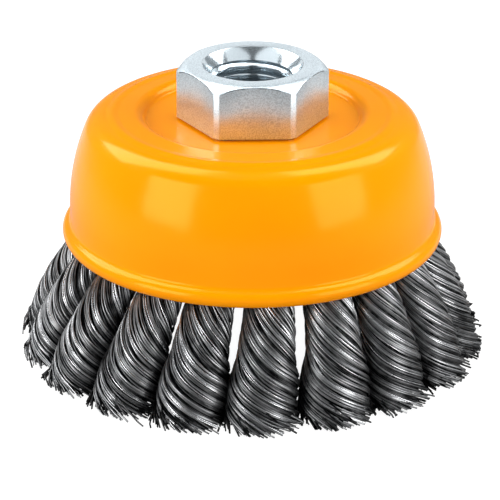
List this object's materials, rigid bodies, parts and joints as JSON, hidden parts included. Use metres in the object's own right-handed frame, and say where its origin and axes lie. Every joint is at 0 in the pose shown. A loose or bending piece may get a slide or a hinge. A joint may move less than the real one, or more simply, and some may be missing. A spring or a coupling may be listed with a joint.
{
  "type": "wire cup brush",
  "caption": "Twisted-knot wire cup brush for an angle grinder: a threaded hexagonal hub, an enamelled pressed steel cup and a flared ring of twisted steel wire knots.",
  "frame": {"origin": "on the spindle axis, in the plane that the wire tips stand on", "axes": "+Z along the spindle axis from the wire tips to the hub, -Y towards the viewer of the reference view"},
  "size_m": [0.0772, 0.0778, 0.049],
  "materials": {
    "zinc_plate": "bright zinc plate, fine grained",
    "yellow_enamel": "glossy amber-yellow enamel",
    "plain_steel": "bare pressed steel",
    "brush_wire": "drawn steel wire"
  },
  "bodies": {
    "root": {"hub_nut": "zinc_plate", "cup_shell": "yellow_enamel", "knot_plate": "plain_steel", "wire_knot_01": "brush_wire", "wire_knot_02": "brush_wire", "wire_knot_03": "brush_wire", "wire_knot_04": "brush_wire", "wire_knot_05": "brush_wire", "wire_knot_06": "brush_wire", "wire_knot_07": "brush_wire", "wire_knot_08": "brush_wire", "wire_knot_09": "brush_wire", "wire_knot_10": "brush_wire", "wire_knot_11": "brush_wire", "wire_knot_12": "brush_wire", "wire_knot_13": "brush_wire", "wire_knot_14": "brush_wire", "wire_knot_15": "brush_wire", "wire_knot_16": "brush_wire", "wire_knot_17": "brush_wire", "wire_knot_18": "brush_wire"}
  },
  "joints": []
}
